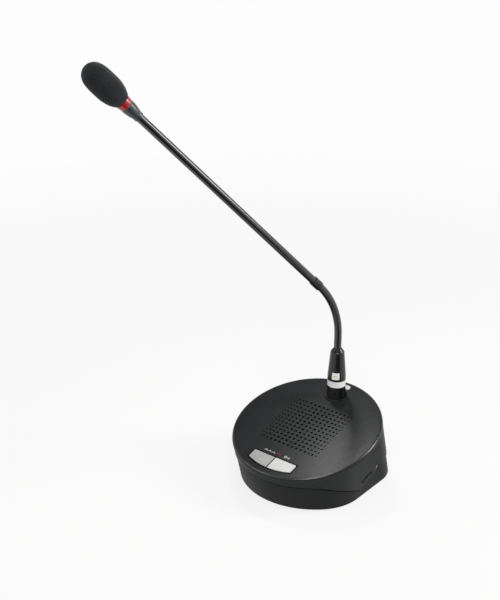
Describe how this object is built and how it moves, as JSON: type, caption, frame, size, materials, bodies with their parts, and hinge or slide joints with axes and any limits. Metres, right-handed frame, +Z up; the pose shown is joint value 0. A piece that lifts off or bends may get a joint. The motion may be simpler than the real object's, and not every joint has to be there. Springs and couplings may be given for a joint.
{
  "type": "conference chairman unit",
  "caption": "Round tabletop chairman unit with a sloping top, speaker grille, talk and priority keys, volume thumbwheel, headphone socket and a latching gooseneck microphone.",
  "frame": {"origin": "on the table, straight below the centre of the round sloping top", "axes": "+Z up, -Y towards the person who speaks, +X to that person's right, the side with the thumbwheel and headphone socket"},
  "size_m": [0.1913, 0.2747, 0.439],
  "materials": {
    "case_black": "satin, finely textured",
    "case_grey": "satin, finely textured",
    "foot_rubber": "matt",
    "screw_steel": "zinc plated",
    "ballast_steel": "plain",
    "board_green": "solder mask",
    "inner_black": "moulded",
    "plunger_cream": "moulded",
    "key_grey": "soft gloss",
    "key_white": "soft gloss",
    "lens_red": "translucent",
    "cloth_black": "woven",
    "gasket_black": "closed-cell foam",
    "basket_steel": "stamped and painted",
    "cone_paper": "pressed paper",
    "magnet_ferrite": "bare ferrite",
    "contact_brass": "gold flashed",
    "latch_silver": "satin nickel",
    "ring_chrome": "bright plated",
    "wheel_black": "notched edge",
    "plug_black": "satin black coat",
    "sleeve_nickel": "nickel plated",
    "core_steel": "plain",
    "flex_rubber": "smooth satin",
    "stem_black": "gloss black coat",
    "flare_grey": "satin",
    "housing_metal": "plain",
    "foam_grey": "open-cell foam"
  },
  "bodies": {
    "base": {"upper_case": "case_black", "lower_case": "case_grey", "rubber_feet": "foot_rubber", "case_screws": "screw_steel", "ballast_plate": "ballast_steel", "ballast_screws": "screw_steel", "main_board": "board_green", "board_screws": "screw_steel", "bus_sockets": "inner_black", "bus_inserts": "inner_black", "key_board": "board_green", "key_board_screws": "screw_steel", "switch_bodies": "inner_black", "led_lens": "lens_red", "grille_cloth": "cloth_black", "speaker_gasket": "gasket_black", "speaker_frame": "basket_steel", "speaker_cone": "cone_paper", "speaker_magnet": "magnet_ferrite", "speaker_screws": "screw_steel", "mic_socket": "inner_black", "socket_insert": "inner_black", "socket_contacts": "contact_brass", "socket_screws": "screw_steel", "side_board": "board_green", "side_board_screws": "screw_steel", "headphone_jack": "inner_black", "jack_ring": "ring_chrome", "volume_pot": "inner_black", "plug_shell": "plug_black", "plug_sleeve": "sleeve_nickel", "plug_insert": "inner_black", "plug_pins": "contact_brass", "neck_anchor": "core_steel", "gooseneck_sleeve": "flex_rubber"},
    "priority_key": {"priority_button": "key_grey", "priority_plunger": "plunger_cream"},
    "talk_key": {"talk_button": "key_white", "talk_plunger": "plunger_cream"},
    "latch": {"socket_latch": "latch_silver"},
    "wheel": {"volume_wheel": "wheel_black"},
    "head": {"neck_end": "core_steel", "stem_collar": "plug_black", "stem_tube": "stem_black", "head_flare": "flare_grey", "led_ring": "lens_red", "capsule_housing": "housing_metal", "mic_capsule": "housing_metal", "windscreen": "foam_grey"},
    "link_1": {"neck_link_1": "core_steel"},
    "link_2": {"neck_link_2": "core_steel"},
    "link_3": {"neck_link_3": "core_steel"},
    "link_4": {"neck_link_4": "core_steel"},
    "link_5": {"neck_link_5": "core_steel"},
    "link_6": {"neck_link_6": "core_steel"},
    "link_7": {"neck_link_7": "core_steel"}
  },
  "joints": [
    {"name": "priority_press", "type": "slide", "parent": "base", "child": "priority_key", "axis": [0, 0.2588, -0.9659], "range_m": [0, 0.0012], "stiffness_N_per_m": 500},
    {"name": "talk_press", "type": "slide", "parent": "base", "child": "talk_key", "axis": [0, 0.2588, -0.9659], "range_m": [0, 0.0012], "stiffness_N_per_m": 500},
    {"name": "latch_press", "type": "slide", "parent": "base", "child": "latch", "axis": [0, 0, -1], "range_m": [0, 0.002], "stiffness_N_per_m": 600},
    {"name": "volume_turn", "type": "hinge", "parent": "base", "child": "wheel", "pos_m": [0.0585, 0.00985, 0.01992], "axis": [0, -0.2588, 0.9659], "range_deg": [-140, 140]},
    {"name": "neck_bend_1", "type": "hinge", "parent": "base", "child": "link_1", "pos_m": [0, 0.0513, 0.1357], "axis": [0.9063, -0.4226, 0], "range_deg": [-11, 9], "deforming": ["gooseneck_sleeve"]},
    {"name": "neck_sway_1", "type": "hinge", "parent": "link_1", "child": "link_2", "pos_m": [-0.00002, 0.05127, 0.1447], "axis": [-0.4224, -0.9059, -0.0293], "range_deg": [-7, 7], "deforming": ["gooseneck_sleeve"]},
    {"name": "neck_bend_2", "type": "hinge", "parent": "link_2", "child": "link_3", "pos_m": [-0.00033, 0.05058, 0.15366], "axis": [0.9063, -0.4226, 0], "range_deg": [-11, 9], "deforming": ["gooseneck_sleeve"]},
    {"name": "neck_sway_2", "type": "hinge", "parent": "link_3", "child": "link_4", "pos_m": [-0.00107, 0.04901, 0.16249], "axis": [-0.4096, -0.8784, -0.2462], "range_deg": [-7, 7], "deforming": ["gooseneck_sleeve"]},
    {"name": "neck_bend_3", "type": "hinge", "parent": "link_4", "child": "link_5", "pos_m": [-0.0022, 0.04657, 0.17107], "axis": [0.9063, -0.4226, 0], "range_deg": [-11, 9], "deforming": ["gooseneck_sleeve"]},
    {"name": "neck_sway_3", "type": "hinge", "parent": "link_5", "child": "link_6", "pos_m": [-0.00373, 0.0433, 0.17931], "axis": [-0.3771, -0.8087, -0.4514], "range_deg": [-7, 7], "deforming": ["gooseneck_sleeve"]},
    {"name": "neck_bend_4", "type": "hinge", "parent": "link_6", "child": "link_7", "pos_m": [-0.00563, 0.03923, 0.1871], "axis": [0.9063, -0.4226, 0], "range_deg": [-11, 9], "deforming": ["gooseneck_sleeve"]},
    {"name": "neck_sway_4", "type": "hinge", "parent": "link_7", "child": "head", "pos_m": [-0.00788, 0.0344, 0.19436], "axis": [-0.3265, -0.7003, -0.6348], "range_deg": [-7, 7], "deforming": ["gooseneck_sleeve"]}
  ],
  "couplings": [
    {"joint": "neck_bend_2", "follows": "neck_bend_1", "ratio": 1},
    {"joint": "neck_sway_2", "follows": "neck_sway_1", "ratio": 1},
    {"joint": "neck_bend_3", "follows": "neck_bend_1", "ratio": 1},
    {"joint": "neck_sway_3", "follows": "neck_sway_1", "ratio": 1},
    {"joint": "neck_bend_4", "follows": "neck_bend_1", "ratio": 1},
    {"joint": "neck_sway_4", "follows": "neck_sway_1", "ratio": 1}
  ]
}
